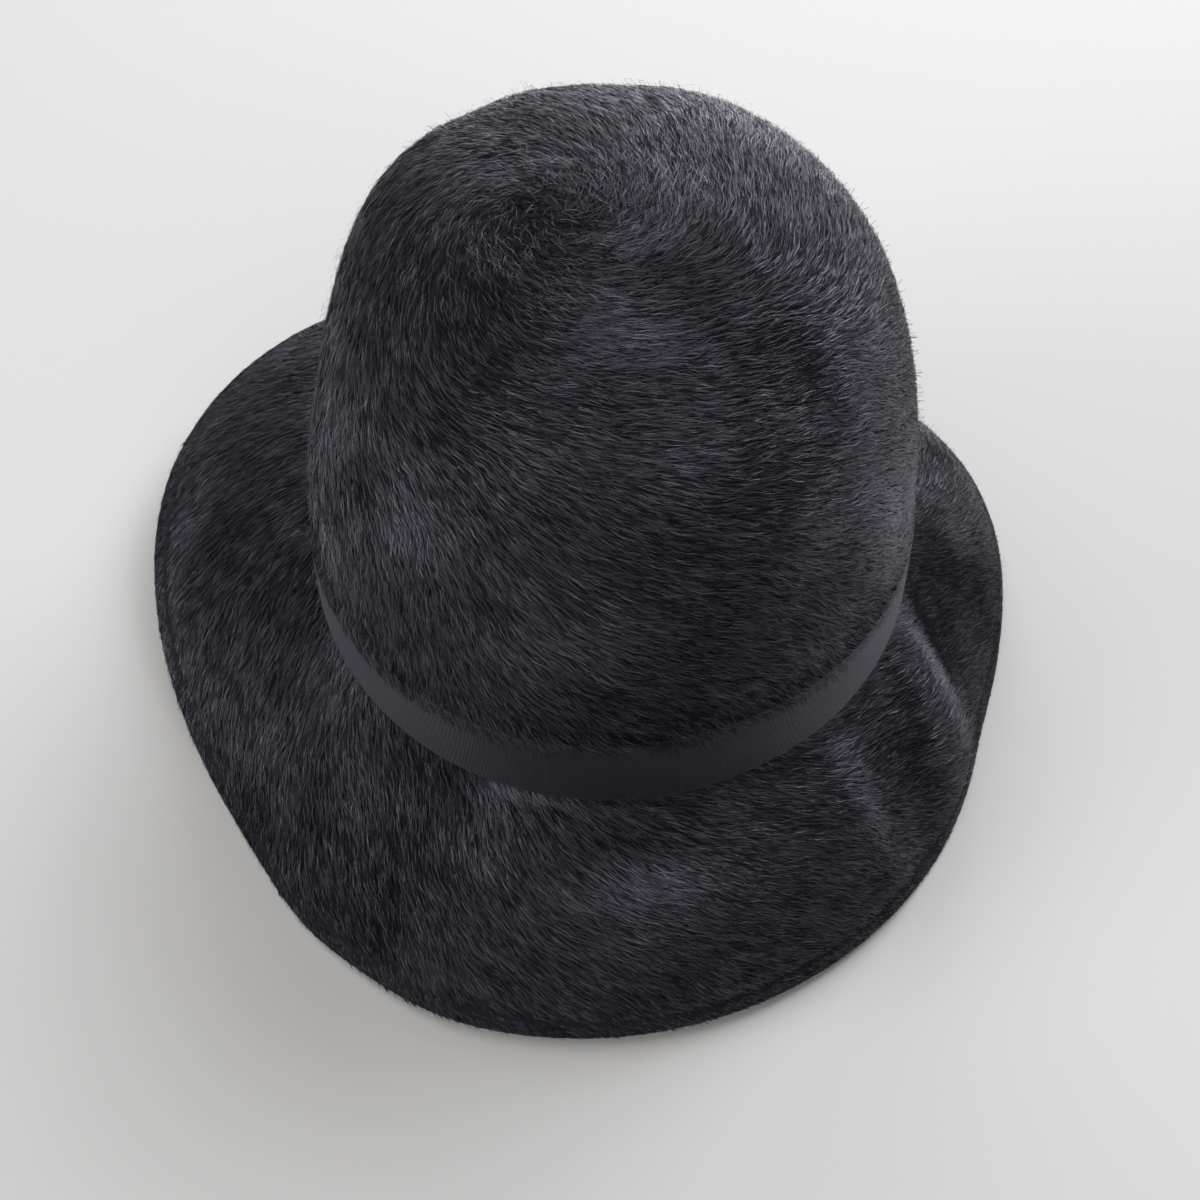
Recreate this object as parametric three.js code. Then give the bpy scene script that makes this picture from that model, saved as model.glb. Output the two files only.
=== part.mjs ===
import * as THREE from 'three';

// A soft long-nap felt hat: a tall round crown and a wide drooping brim blocked from one felt hood,
// with a plain ribbon round the foot of the crown. Millimetres, +Z up, resting by itself on z = 0.
// Angles go round the crown from +X (the right side) through +Y (the far side).

// Crown
const crownWidth = 190;
const crownLength = 219;
const crownHeight = 138;
const wallFullness = 2.65;
const topFullness = 2.77;

// Brim
const brimWidth = 76.5;
const brimRoll = 28;
const brimBreak = 5;
const breakBend = 5;

// Felt and its turned, stitched hem
const feltWall = 2.5;
const hemWall = 3.6;
const hemWidth = 7;

// Ribbon
const ribbonFoot = 0.6;
const ribbonWidth = 25;
const ribbonThickness = 0.9;
const ribbonGap = 0.3;

// How it stands: the felt crown leans, and the rim is pressed flat where it touches down
const leanBack = 4;
const leanLeft = 1.5;
const rimPress = 2;
const rimFlat = 0.7;

// Fineness of the mesh
const columns = 84;
const crownRows = 13;
const bendRows = 3;
const brimRows = 11;
const capRows = 3;

// How far the brim hangs below level, in degrees, at each angle round the crown
const droops = [
  { at: 0, droop: 55 },
  { at: 30, droop: 39 },
  { at: 60, droop: 42 },
  { at: 90, droop: 37 },
  { at: 120, droop: 20 },
  { at: 150, droop: 16 },
  { at: 180, droop: 34 },
  { at: 210, droop: 54 },
  { at: 240, droop: 53 },
  { at: 270, droop: 59 },
  { at: 300, droop: 62 },
  { at: 330, droop: 62 },
];

// Soft folds across the brim: where each starts at the band and ends at the rim, its half width
// in degrees, and how far it stands up (or sinks) midway and at the rim, in millimetres
const folds = [
  { atBand: 22, atRim: 13, wide: 9, middle: 2, rim: 2 },
  { atBand: -11, atRim: -13, wide: 6, middle: -3.5, rim: -2.5 },
  { atBand: -23, atRim: -26, wide: 6, middle: 3, rim: 0 },
  { atBand: -36, atRim: -36, wide: 5, middle: -2.5, rim: 0.5 },
  { atBand: -49, atRim: -47, wide: 6, middle: 2.2, rim: 0.5 },
  { atBand: -82, atRim: -84, wide: 15, middle: 3, rim: 0 },
  { atBand: 227, atRim: 237, wide: 6, middle: -1.8, rim: -2.5 },
  { atBand: 219, atRim: 229, wide: 6, middle: 1.8, rim: 0.5 },
  { atBand: 190, atRim: 190, wide: 9, middle: 0, rim: -1.5 },
  { atBand: 170, atRim: 166, wide: 9, middle: 0, rim: 2.5 },
];

// Dents and swells of the crown: the middle of each, its reach along, across and in height, the turn
// of its length from X in degrees, and its rise
const dents = [
  { x: 0, y: 10, z: 138, along: 60, across: 16, high: 40, turn: 90, rise: -3.5 },
  { x: 4, y: -40, z: 134, along: 22, across: 9, high: 24, turn: -38, rise: -3 },
  { x: 2, y: -62, z: 128, along: 20, across: 12, high: 24, turn: -20, rise: 2 },
  { x: -38, y: -54, z: 120, along: 26, across: 20, high: 26, turn: -60, rise: -3.5 },
  { x: -62, y: -64, z: 88, along: 30, across: 12, high: 34, turn: -50, rise: 3 },
  { x: -88, y: -10, z: 80, along: 30, across: 26, high: 24, turn: 90, rise: -3 },
  { x: 30, y: -105, z: 40, along: 34, across: 26, high: 40, turn: 0, rise: -2 },
  { x: -40, y: 40, z: 128, along: 26, across: 10, high: 22, turn: 90, rise: -2 },
  { x: -60, y: 30, z: 116, along: 34, across: 24, high: 24, turn: 90, rise: 3.5 },
  { x: 76, y: 10, z: 100, along: 40, across: 22, high: 24, turn: 90, rise: 1.5 },
];

const halfWidth = crownWidth / 2;
const halfLength = crownLength / 2;
const degrees = Math.PI / 180;
const upward = new THREE.Vector3(0, 0, 1);

// The point in the crown that its dents sink towards
const crownHeart = new THREE.Vector3(0, 0, crownHeight / 3);

// The shortest turn from one angle to another, in degrees
function turnBetween(from, to) {
  return THREE.MathUtils.euclideanModulo(to - from + 180, 360) - 180;
}

// A smooth curve through the droop table, closed round the crown
function droopAt(angle) {
  const place = THREE.MathUtils.euclideanModulo(angle, 360) * droops.length / 360;
  const row = Math.floor(place);
  const near = [-1, 0, 1, 2].map((step) => droops[(row + step + droops.length) % droops.length]);
  const [a, b, c, d] = near.map((entry) => entry.droop);
  const t = place - row;
  const bend = 2 * a - 5 * b + 4 * c - d + t * (3 * (b - c) + d - a);
  return b + 0.5 * t * (c - a + t * bend);
}

// The level direction straight out from the crown's oval foot
function outwardAt(angle) {
  const x = Math.cos(angle * degrees) / halfWidth;
  const y = Math.sin(angle * degrees) / halfLength;
  return new THREE.Vector3(x, y, 0).normalize();
}

// The crown's outer surface: turn 0 is the middle of the top and 1 the foot of the wall
function crownPoint(angle, turn) {
  const climb = Math.cos(turn * Math.PI / 2) ** (2 / wallFullness);
  const spread = Math.sin(turn * Math.PI / 2) ** (2 / topFullness);
  const point = new THREE.Vector3(
    halfWidth * spread * Math.cos(angle * degrees),
    halfLength * spread * Math.sin(angle * degrees),
    crownHeight * climb,
  );
  const outward = point.clone().sub(crownHeart).normalize();
  let rise = 0;
  for (const dent of dents) {
    const away = point.clone().sub(dent).applyAxisAngle(upward, -dent.turn * degrees);
    away.divide(new THREE.Vector3(dent.along, dent.across, dent.high));
    rise += dent.rise * Math.exp(-away.lengthSq() / 2);
  }
  return point.addScaledVector(outward, rise);
}

// The turn at which the crown's wall has a given height
function turnAtHeight(height) {
  return Math.acos((height / crownHeight) ** (wallFullness / 2)) / (Math.PI / 2);
}

// The brim's upper surface: reach 0 is the crown's foot and 1 the rim. Each section is an arc.
function brimPoint(angle, reach) {
  const foot = crownPoint(angle, 1);
  const roll = brimRoll * degrees;
  const start = droopAt(angle) * degrees - roll / 2;
  const slope = start + roll * reach;
  const out = brimWidth / roll * (Math.sin(slope) - Math.sin(start));
  const down = brimWidth / roll * (Math.cos(start) - Math.cos(slope));
  let rise = 0;
  for (const fold of folds) {
    const line = fold.atBand + turnBetween(fold.atBand, fold.atRim) * reach;
    const away = turnBetween(line, angle) / fold.wide;
    const height = fold.middle * 4 * reach * (1 - reach) + fold.rim * reach * reach;
    rise += height * Math.exp(-away * away / 2);
  }
  const point = foot.addScaledVector(outwardAt(angle), out + rise * Math.sin(slope));
  point.z += rise * Math.cos(slope) - down - brimBreak;
  return point;
}

// The bend where the wall turns out into the brim, a short curve between two points of them
function bendPoint(angle, t) {
  const above = crownPoint(angle, turnAtHeight(breakBend - brimBreak));
  const corner = brimPoint(angle, 0);
  const below = brimPoint(angle, breakBend / brimWidth);
  return new THREE.QuadraticBezierCurve3(above, corner, below).getPoint(t);
}

// One ring of points for each row of the felt's outer surface, from the top to the rim
function outerRings() {
  const rings = [];
  const ring = (at) => rings.push(Array.from({ length: columns }, (_, column) => at(360 * column / columns)));
  const foot = turnAtHeight(breakBend - brimBreak);
  for (let row = 1; row <= crownRows; row += 1) {
    ring((angle) => crownPoint(angle, foot * row / crownRows));
  }
  for (let row = 1; row <= bendRows; row += 1) {
    ring((angle) => bendPoint(angle, row / (bendRows + 1)));
  }
  const bendEnd = breakBend / brimWidth;
  const hemStart = 1 - hemWidth / brimWidth;
  for (let row = 0; row < brimRows; row += 1) {
    ring((angle) => brimPoint(angle, THREE.MathUtils.lerp(bendEnd, hemStart, row / (brimRows - 1))));
  }
  ring((angle) => brimPoint(angle, 1 - hemWidth / brimWidth / 2));
  ring((angle) => brimPoint(angle, 1));
  return rings;
}

// Joins rings of points to each other, and the first and last of them to a pole when one is given
function skin(rings, firstPole, lastPole) {
  const points = rings.flat();
  const faces = [];
  const at = (row, column) => row * columns + column % columns;
  for (let row = 0; row < rings.length - 1; row += 1) {
    for (let column = 0; column < columns; column += 1) {
      faces.push(at(row, column), at(row + 1, column), at(row + 1, column + 1));
      faces.push(at(row, column), at(row + 1, column + 1), at(row, column + 1));
    }
  }
  if (firstPole) {
    const pole = points.push(firstPole) - 1;
    for (let column = 0; column < columns; column += 1) {
      faces.push(pole, at(0, column), at(0, column + 1));
    }
  }
  if (lastPole) {
    const pole = points.push(lastPole) - 1;
    const row = rings.length - 1;
    for (let column = 0; column < columns; column += 1) {
      faces.push(pole, at(row, column + 1), at(row, column));
    }
  }
  const geometry = new THREE.BufferGeometry().setFromPoints(points);
  geometry.setIndex(faces);
  return geometry;
}

// The felt hood: its outer rings, a round rim and the same rings again one wall further in
function feltHood() {
  const outer = outerRings();
  const top = crownPoint(0, 0);
  const surface = skin(outer, top);
  surface.computeVertexNormals();
  const normals = surface.getAttribute('normal');
  const inner = outer.map((ring, row) => {
    const wall = row < outer.length - 2 ? feltWall : hemWall;
    return ring.map((point, column) => {
      const normal = new THREE.Vector3().fromBufferAttribute(normals, row * columns + column);
      return point.clone().addScaledVector(normal, -wall);
    });
  });
  const upper = outer.at(-1);
  const lower = inner.at(-1);
  const caps = [];
  for (let row = 1; row <= capRows; row += 1) {
    const swing = Math.PI * row / (capRows + 1);
    const swell = hemWall / 2 * Math.sin(swing);
    caps.push(upper.map((point, column) => {
      const along = point.clone().sub(outer.at(-2)[column]).normalize();
      const middle = point.clone().add(lower[column]).multiplyScalar(0.5);
      const half = point.clone().sub(middle);
      return middle.addScaledVector(half, Math.cos(swing)).addScaledVector(along, swell);
    }));
  }
  const innerTop = top.clone().add(new THREE.Vector3(0, 0, -feltWall));
  const under = inner.filter((_, row) => row > crownRows - 2 || row % 2 === 1).reverse();
  return { rings: [...outer, ...caps, ...under], poles: [top, innerTop], rimRow: outer.length - 1 };
}

// The lean of the standing hat, and the height at which its rim is pressed into z = 0
function standOf(points) {
  const stand = new THREE.Matrix4().makeRotationFromEuler(
    new THREE.Euler(-leanBack * degrees, -leanLeft * degrees, 0),
  );
  const lowest = Math.min(...points.map((point) => point.clone().applyMatrix4(stand).z));
  return stand.setPosition(0, 0, -lowest - rimPress);
}

// Bends the brim up, column by column, where its rim would go through the surface
function pressRim(rings, rimRow) {
  const footRow = crownRows + bendRows;
  for (let column = 0; column < columns; column += 1) {
    const lowest = Math.min(...rings.map((ring) => ring[column].z));
    const lift = Math.max(0, -rimFlat - lowest);
    const rim = rings[rimRow][column].clone();
    const width = rim.distanceTo(rings[footRow][column]);
    for (const ring of rings) {
      const point = ring[column];
      const reach = 1 - point.distanceTo(rim) / width;
      point.z = Math.max(0, point.z + lift * THREE.MathUtils.smoothstep(reach, 0, 1));
    }
  }
}

// The ribbon: a flat ring on the foot of the crown's wall, following its dents
function ribbonGeometry() {
  const levels = [0, 0.5, 1].map((part) => turnAtHeight(ribbonFoot + ribbonWidth * part));
  const wall = (turn, away) => Array.from({ length: columns }, (_, column) => {
    const angle = 360 * column / columns;
    return crownPoint(angle, turn).addScaledVector(outwardAt(angle), away);
  });
  const outside = levels.map((turn) => wall(turn, ribbonGap + ribbonThickness)).reverse();
  const inside = levels.map((turn) => wall(turn, ribbonGap));
  return skin([...outside, ...inside, outside[0]]);
}

const felt = new THREE.MeshStandardMaterial({ color: 0x1b1b1f, roughness: 0.95, metalness: 0 });
const ribbon = new THREE.MeshStandardMaterial({ color: 0x24242a, roughness: 0.7, metalness: 0 });

const hood = feltHood();
const stand = standOf(hood.rings.flat());
for (const point of [...hood.rings.flat(), ...hood.poles]) {
  point.applyMatrix4(stand);
}
pressRim(hood.rings, hood.rimRow);

const group = new THREE.Group();
const feltBody = new THREE.Mesh(skin(hood.rings, ...hood.poles), felt);
feltBody.name = 'felt_body';
const hatBand = new THREE.Mesh(ribbonGeometry().applyMatrix4(stand), ribbon);
hatBand.name = 'hat_band';
group.add(feltBody, hatBand);

// The origin lies on the surface, under the middle of the hat
const middle = new THREE.Box3().setFromObject(group).getCenter(new THREE.Vector3());
for (const mesh of group.children) {
  mesh.geometry.translate(-middle.x, -middle.y, 0);
}

export default group;
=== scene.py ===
import math
from collections import namedtuple

import bpy
import numpy as np
from mathutils import Euler, Matrix, Vector
from mathutils.bvhtree import BVHTree
from mathutils.kdtree import KDTree


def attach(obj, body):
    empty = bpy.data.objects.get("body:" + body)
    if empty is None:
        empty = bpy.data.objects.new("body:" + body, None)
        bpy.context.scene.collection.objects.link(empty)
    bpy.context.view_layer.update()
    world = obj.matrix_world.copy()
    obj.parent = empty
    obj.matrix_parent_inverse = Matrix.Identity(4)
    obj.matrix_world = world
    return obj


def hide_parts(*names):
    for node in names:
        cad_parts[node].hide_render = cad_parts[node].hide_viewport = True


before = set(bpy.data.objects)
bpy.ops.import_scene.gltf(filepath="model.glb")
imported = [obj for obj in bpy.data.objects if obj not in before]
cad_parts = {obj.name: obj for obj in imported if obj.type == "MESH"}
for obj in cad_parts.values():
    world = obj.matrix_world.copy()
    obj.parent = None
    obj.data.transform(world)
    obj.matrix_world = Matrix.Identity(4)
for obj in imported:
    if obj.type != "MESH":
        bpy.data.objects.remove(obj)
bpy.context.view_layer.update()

MM = 0.001

# The crown stands leaning back and to the left on this foot
LEAN = Euler((math.radians(-4), math.radians(-1.5), 0)).to_matrix()
FOOT = Vector((7.63, -7.15, 65.24)) * MM
HALF_WIDTH = 95 * MM
HALF_LENGTH = 109.5 * MM
WHORL = Vector((-14, -12)) * MM

# Rows of the felt's mesh, counted out from the middle of the crown's top. The groove of the hem
# seam adds one row on each side of its own.
FOOT_ROW = 13
SEAM_ROW = 27
HEM_ROW = 28
UNDER_ROW = 34

# The hem seam
SEAM_HALF = 1.3 * MM
SEAM_DEPTH = 0.9 * MM
STITCH_PITCH = 3.6 * MM
STITCH_LENGTH = 2.4 * MM
STITCH_THICKNESS = 0.5 * MM
STITCH_ROUNDING = 0.3 * STITCH_THICKNESS

# The ribbon: the height of its top on the crown, its length and its lapped end on the far side
RIBBON_TOP = 25.6 * MM
RIBBON_LENGTH = 650 * MM
RIBBON_MAP = "ribbon_map"
RIB_PITCH = 0.5 * MM
RIBBON_EDGE = 0.22 * MM
LAP_START = 92
LAP_END = 105
LAP_LIFT = 0.1 * MM
LAP_THICKNESS = 0.6 * MM


# ---- Small workshop tools -------------------------------------------------------------------

def deselect():
    bpy.ops.object.select_all(action="DESELECT")


def take(piece):
    """Makes this piece the one that the next operator works on."""
    deselect()
    piece.select_set(True)
    bpy.context.view_layer.objects.active = piece


def apply(piece, name):
    take(piece)
    bpy.ops.object.modifier_apply(modifier=name)


def home_of(points):
    """Places measured from the middle of the crown's foot, with the crown upright."""
    return (points - np.array(FOOT)) @ np.array(LEAN)


def copy_of(node, name):
    """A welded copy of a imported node, left in edit mode with nothing selected."""
    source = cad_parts[node]
    piece = bpy.data.objects.new(name, source.data.copy())
    piece.data.name = name
    piece.data.materials.clear()
    bpy.context.scene.collection.objects.link(piece)
    take(piece)
    bpy.ops.object.mode_set(mode="EDIT")
    bpy.ops.mesh.select_all(action="SELECT")
    bpy.ops.mesh.remove_doubles(threshold=0.01 * MM)
    bpy.ops.mesh.select_all(action="DESELECT")
    return piece


def numbers(items, name, width, kind=np.float64):
    """One property of all of a mesh's items, as rows of numbers."""
    found = np.empty(len(items) * width, np.float32 if kind is np.float64 else kind)
    items.foreach_get(name, found)
    return found.astype(kind).reshape(-1, width)


def unit_rows(rows):
    """Each row scaled to length one."""
    return rows / np.maximum(np.linalg.norm(rows, axis=1, keepdims=True), 1e-12)


# ---- Materials ------------------------------------------------------------------------------

# The cool cast of the shine on black felt and ribbon
COOL = (0.84, 0.815, 1.0)

# The scale at which a wave texture has one band to each unit of its map
WAVE_OF_ONE = 0.314

# The darkest and palest hairs, and greys between them by their place from dark to pale
DARKEST_HAIR = (0.003, 0.003, 0.004, 1)
PALEST_HAIR = (0.090, 0.087, 0.110, 1)
HAIR_GREYS = ((0.3, 0.007), (0.5, 0.013), (0.7, 0.022), (0.9, 0.036))

# How the strands and the shine of a hair run: the ranges of a strand's strength, of the paling
# towards the tip and of the roughness from dark to pale, then how often a strand breaks
STREAK = (0.4, 1.6)
TIP_PALER = (0.7, 1.3)
HAIR_ROUGHNESS = (0.55, 0.36)
STRAND_BREAKS = 1.5


class Nodes:
    """A tree of shader nodes, laid out from left to right as they are added."""

    def __init__(self, tree):
        self.tree = tree
        self.column = 0

    def node(self, kind, **settings):
        made = self.tree.nodes.new(kind)
        self.column += 1
        made.location = (-180 * (12 - self.column), -60 * (self.column % 5))
        for name, value in settings.items():
            if name in made.inputs:
                made.inputs[name].default_value = value
            else:
                setattr(made, name, value)
        return made

    def place(self, effect, **values):
        """Places an effect's group, with this material's own values on its inputs."""
        made = self.node("ShaderNodeGroup", node_tree=effect.tree)
        for name, value in values.items():
            made.inputs[name].default_value = value
        return made

    def math(self, operation, first, second):
        """Adds or multiplies the named outputs of two nodes."""
        made = self.node("ShaderNodeMath", operation=operation)
        for socket, (source, output) in zip(made.inputs, (first, second)):
            self.tree.links.new(source.outputs[output], socket)
        return made

    def map_range(self, source, output, to, span=(0.0, 1.0)):
        """Takes an output from one span of numbers to another."""
        made = self.node("ShaderNodeMapRange")
        for name, value in zip(("From Min", "From Max", "To Min", "To Max"), (*span, *to)):
            made.inputs[name].default_value = value
        self.link(source, output, made, "Value")
        return made

    def link(self, source, output, target, name):
        self.tree.links.new(source.outputs[output], target.inputs[name])


class Effect(Nodes):
    """A group of nodes that several materials use, with named inputs and outputs."""

    def __init__(self, name, inputs, outputs):
        super().__init__(bpy.data.node_groups.new(name, "ShaderNodeTree"))
        for label, kind, value in inputs:
            socket = self.tree.interface.new_socket(label, in_out="INPUT", socket_type=kind)
            if value is not None:
                socket.default_value = value
        for label, kind in outputs:
            self.tree.interface.new_socket(label, in_out="OUTPUT", socket_type=kind)
        self.start = self.tree.nodes.new("NodeGroupInput")
        self.start.location = (-2400, 0)
        self.end = self.tree.nodes.new("NodeGroupOutput")
        self.end.location = (600, 0)


class Finish(Nodes):
    """A material: its even values are set on the shader, and its nodes bring what changes."""

    def __init__(self, name, colour, roughness, specular, sheen=0.0, sheen_roughness=0.5,
                 tint=(1, 1, 1)):
        self.material = bpy.data.materials.new(name)
        self.material.use_nodes = True
        super().__init__(self.material.node_tree)
        self.shader = self.tree.nodes["Principled BSDF"]
        self.shader.inputs["Base Color"].default_value = (*colour, 1)
        self.shader.inputs["Roughness"].default_value = roughness
        self.shader.inputs["Specular IOR Level"].default_value = specular
        self.shader.inputs["Specular Tint"].default_value = (*tint, 1)
        self.shader.inputs["Sheen Weight"].default_value = sheen
        self.shader.inputs["Sheen Tint"].default_value = (*tint, 1)
        self.shader.inputs["Sheen Roughness"].default_value = sheen_roughness

    def bump(self, source, output, strength, distance):
        """Raises the surface where an output is high."""
        made = self.node("ShaderNodeBump", Strength=strength, Distance=distance)
        self.link(source, output, made, "Height")
        self.link(made, "Normal", self.shader, "Normal")


def mottle_effect():
    """Slow changes of tone over a cloth, as wear, dust and the pressing leave them."""
    effect = Effect(
        "cloth_mottle",
        [("Vector", "NodeSocketVector", None), ("Size", "NodeSocketFloat", 30.0),
         ("Dark", "NodeSocketColor", (0.01, 0.01, 0.012, 1)),
         ("Light", "NodeSocketColor", (0.02, 0.02, 0.024, 1))],
        [("Color", "NodeSocketColor"), ("Mask", "NodeSocketFloat")],
    )
    noise = effect.node("ShaderNodeTexNoise", Detail=4, Roughness=0.6)
    mix = effect.node("ShaderNodeMix", data_type="RGBA")
    effect.link(effect.start, "Vector", noise, "Vector")
    effect.link(effect.start, "Size", noise, "Scale")
    effect.link(noise, "Fac", mix, "Factor")
    effect.link(effect.start, "Dark", mix, "A")
    effect.link(effect.start, "Light", mix, "B")
    effect.link(mix, "Result", effect.end, "Color")
    effect.link(noise, "Fac", effect.end, "Mask")
    return effect


def grain_effect():
    """A fine chance grain, as matted fibres, yarns or dust make it."""
    effect = Effect(
        "fine_grain",
        [("Vector", "NodeSocketVector", None), ("Size", "NodeSocketFloat", 900.0),
         ("Detail", "NodeSocketFloat", 2.0), ("Sharpness", "NodeSocketFloat", 0.5),
         ("Tangle", "NodeSocketFloat", 0.0)],
        [("Height", "NodeSocketFloat")],
    )
    noise = effect.node("ShaderNodeTexNoise")
    for source, target in (("Vector", "Vector"), ("Size", "Scale"), ("Detail", "Detail"),
                           ("Sharpness", "Roughness"), ("Tangle", "Distortion")):
        effect.link(effect.start, source, noise, target)
    effect.link(noise, "Fac", effect.end, "Height")
    return effect


def hair_effect():
    """Long hairs: each has one near-black tone, with fine strands along it and a paler tip."""
    effect = Effect(
        "nap_hair",
        [("Vector", "NodeSocketVector", None), ("Stretch", "NodeSocketVector", None)],
        [("Color", "NodeSocketColor"), ("Roughness", "NodeSocketFloat"),
         ("Height", "NodeSocketFloat")],
    )
    parts = effect.node("ShaderNodeSeparateXYZ")
    stretch = effect.node("ShaderNodeVectorMath", operation="MULTIPLY")
    strands = effect.node("ShaderNodeTexNoise", Scale=1.0, Detail=2.0, Roughness=0.6)
    tones = effect.node("ShaderNodeValToRGB")
    ramp = tones.color_ramp.elements
    ramp[0].color = DARKEST_HAIR
    ramp[1].color = PALEST_HAIR
    for place, grey in HAIR_GREYS:
        ramp.new(place).color = (grey, grey * 0.97, grey * 1.25, 1)
    effect.link(effect.start, "Vector", parts, "Vector")
    effect.tree.links.new(effect.start.outputs["Vector"], stretch.inputs[0])
    effect.tree.links.new(effect.start.outputs["Stretch"], stretch.inputs[1])
    effect.link(stretch, "Vector", strands, "Vector")
    effect.link(parts, "Y", tones, "Fac")
    streak = effect.map_range(strands, "Fac", to=STREAK, span=(0.3, 0.7))
    tips = effect.map_range(parts, "X", to=TIP_PALER)
    gloss = effect.map_range(parts, "Y", to=HAIR_ROUGHNESS)
    factor = effect.math("MULTIPLY", (streak, "Result"), (tips, "Result"))
    product = effect.node("ShaderNodeVectorMath", operation="SCALE")
    effect.tree.links.new(tones.outputs["Color"], product.inputs[0])
    effect.link(factor, "Value", product, "Scale")
    effect.link(product, "Vector", effect.end, "Color")
    effect.link(gloss, "Result", effect.end, "Roughness")
    effect.link(strands, "Fac", effect.end, "Height")
    return effect


def felt_finish(mottle, grain):
    """The matted ground of the felt, with short fibres pressed every way."""
    finish = Finish("fur_felt_ground", (0.008, 0.008, 0.010), roughness=0.95, specular=0.20,
                    sheen=0.02, sheen_roughness=0.4, tint=COOL)
    place = finish.node("ShaderNodeTexCoord")
    tone = finish.place(mottle, Size=70.0, Dark=(0.006, 0.006, 0.008, 1),
                        Light=(0.013, 0.013, 0.016, 1))
    fibres = finish.place(grain, Size=900.0, Detail=5.0, Sharpness=0.7, Tangle=1.5)
    tufts = finish.place(grain, Size=160.0)
    for made in (tone, fibres, tufts):
        finish.link(place, "Object", made, "Vector")
    finish.link(tone, "Color", finish.shader, "Base Color")
    both = finish.math("ADD", (fibres, "Height"), (tufts, "Height"))
    finish.bump(both, "Value", 0.7, 0.6 * MM)
    return finish.material


def nap_finish(name, hair, specular, sheen):
    """One kind of the long hairs, which read their own map alone."""
    finish = Finish(name, (0.012, 0.012, 0.015), roughness=0.45, specular=specular,
                    sheen=sheen, sheen_roughness=0.25, tint=COOL)
    lane = finish.node("ShaderNodeUVMap", uv_map=NAP_MAP)
    look = finish.place(hair, Stretch=(STRAND_BREAKS, TONES * STRANDS, 1))
    finish.link(lane, "UV", look, "Vector")
    finish.link(look, "Color", finish.shader, "Base Color")
    finish.link(look, "Roughness", finish.shader, "Roughness")
    finish.bump(look, "Height", 0.5, 0.12 * MM)
    return finish.material


def ribbon_finish(mottle, grain):
    """A fine-ribbed matte ribbon, the ribs running across its width."""
    finish = Finish("ribbon_weave", (0.006, 0.006, 0.007), roughness=0.45, specular=0.20,
                    sheen=0.31, sheen_roughness=0.30, tint=COOL)
    place = finish.node("ShaderNodeTexCoord")
    tone = finish.place(mottle, Size=2200.0, Dark=(0.0005, 0.0005, 0.0007, 1),
                        Light=(0.010, 0.0096, 0.0130, 1))
    yarns = finish.place(grain, Size=2400.0, Sharpness=0.7)
    along = finish.node("ShaderNodeUVMap", uv_map=RIBBON_MAP)
    ribs = finish.node("ShaderNodeTexWave", wave_type="BANDS", bands_direction="X",
                       Scale=WAVE_OF_ONE / RIB_PITCH, Distortion=0.6)
    for made in (tone, yarns):
        finish.link(place, "Object", made, "Vector")
    finish.link(along, "UV", ribs, "Vector")
    finish.link(tone, "Color", finish.shader, "Base Color")
    both = finish.math("ADD", (yarns, "Height"), (ribs, "Fac"))
    finish.bump(both, "Value", 0.8, 0.2 * MM)
    return finish.material


def thread_finish(grain):
    """Dull black cotton thread with its twist."""
    finish = Finish("cotton_thread", (0.010, 0.010, 0.012), roughness=0.75, specular=0.3)
    place = finish.node("ShaderNodeTexCoord")
    twist = finish.place(grain, Size=4000.0, Detail=1.0)
    finish.link(place, "Object", twist, "Vector")
    finish.bump(twist, "Height", 0.4, 0.1 * MM)
    return finish.material


def floor_finish(grain):
    """Pale matte paper under the hat."""
    finish = Finish("pale_floor", (0.52, 0.51, 0.50), roughness=0.8, specular=0.2)
    place = finish.node("ShaderNodeTexCoord")
    tooth = finish.place(grain, Size=180.0, Detail=3.0)
    finish.link(place, "Object", tooth, "Vector")
    finish.bump(tooth, "Height", 0.05, 0.5 * MM)
    return finish.material


# ---- The felt hood --------------------------------------------------------------------------

def count_rows(piece):
    """Numbers the mesh's rings from the middle of the crown's top, over the rim and back inside."""
    mesh = piece.data
    links = [[] for _ in mesh.vertices]
    for edge in mesh.edges:
        a, b = edge.vertices
        links[a].append(b)
        links[b].append(a)
    crowded = max(len(near) for near in links)
    poles = [i for i, near in enumerate(links) if len(near) == crowded]
    top = max(poles, key=lambda i: mesh.vertices[i].co.z)
    rows = [-1] * len(links)
    rows[top] = 0
    edge_of = [top]
    while edge_of:
        found = []
        for i in edge_of:
            for j in links[i]:
                if rows[j] < 0:
                    rows[j] = rows[i] + 1
                    found.append(j)
        edge_of = found
    return rows


def select_row(piece, rows, wanted):
    """Selects the closed ring of edges of one row, in object mode."""
    mesh = piece.data
    for face in mesh.polygons:
        face.select = False
    for edge in mesh.edges:
        edge.select = all(rows[i] == wanted for i in edge.vertices)
    for vertex in mesh.vertices:
        vertex.select = rows[vertex.index] == wanted


def ring_of_row(piece, rows, wanted):
    """The places and normals of one row's points, in order round the hat."""
    points = [vertex for vertex in piece.data.vertices if rows[vertex.index] == wanted]
    points.sort(key=lambda vertex: math.atan2(vertex.co.y - FOOT.y, vertex.co.x - FOOT.x))
    places = np.array([vertex.co for vertex in points])
    return places, np.array([vertex.normal for vertex in points])


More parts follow.
